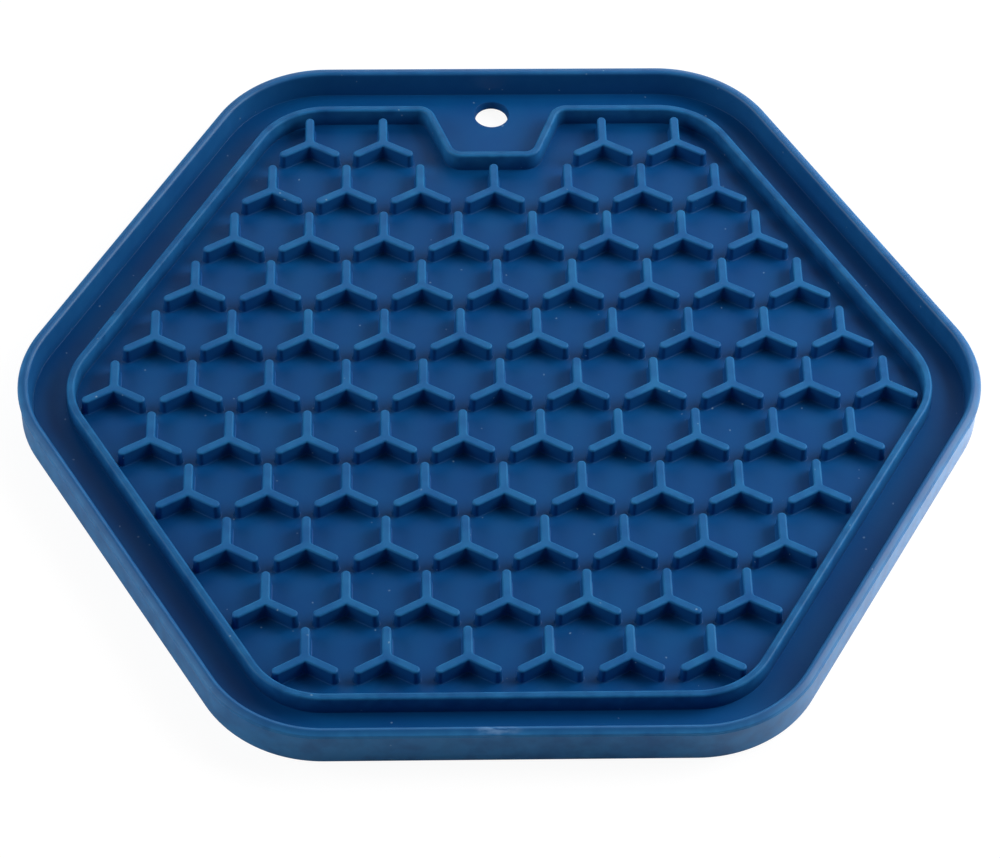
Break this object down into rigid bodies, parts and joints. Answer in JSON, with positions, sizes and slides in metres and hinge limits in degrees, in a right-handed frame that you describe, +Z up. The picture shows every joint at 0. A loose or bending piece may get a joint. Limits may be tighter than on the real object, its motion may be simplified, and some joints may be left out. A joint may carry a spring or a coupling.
{
  "type": "lick mat",
  "caption": "Hexagonal silicone lick mat for pets: raised rim, channel, low ridge, Y-shaped fins, hanging hole and suction cups below",
  "frame": {"origin": "middle of the mat on the surface that it lies on", "axes": "+Z up, +Y towards the side with the hanging hole, +X towards the right-hand corner"},
  "size_m": [0.2492, 0.225, 0.0113],
  "materials": {
    "silicone": "satin moulded blue silicone"
  },
  "bodies": {
    "root": {"base_sheet": "silicone", "outer_rim": "silicone", "inner_ridge": "silicone", "fin_row_01": "silicone", "fin_row_02_left": "silicone", "fin_row_02_right": "silicone", "fin_row_03_left": "silicone", "fin_row_03_right": "silicone", "fin_row_04_left": "silicone", "fin_row_04_right": "silicone", "fin_row_05_left": "silicone", "fin_row_05_right": "silicone", "fin_row_06_left": "silicone", "fin_row_06_middle": "silicone", "fin_row_06_right": "silicone", "fin_row_07_left": "silicone", "fin_row_07_right": "silicone", "fin_row_08_left": "silicone", "fin_row_08_right": "silicone", "fin_row_09_left": "silicone", "fin_row_09_right": "silicone", "fin_row_10_left": "silicone", "fin_row_10_right": "silicone", "fin_row_11_left": "silicone", "fin_row_11_right": "silicone", "suction_cups": "silicone"}
  },
  "joints": []
}
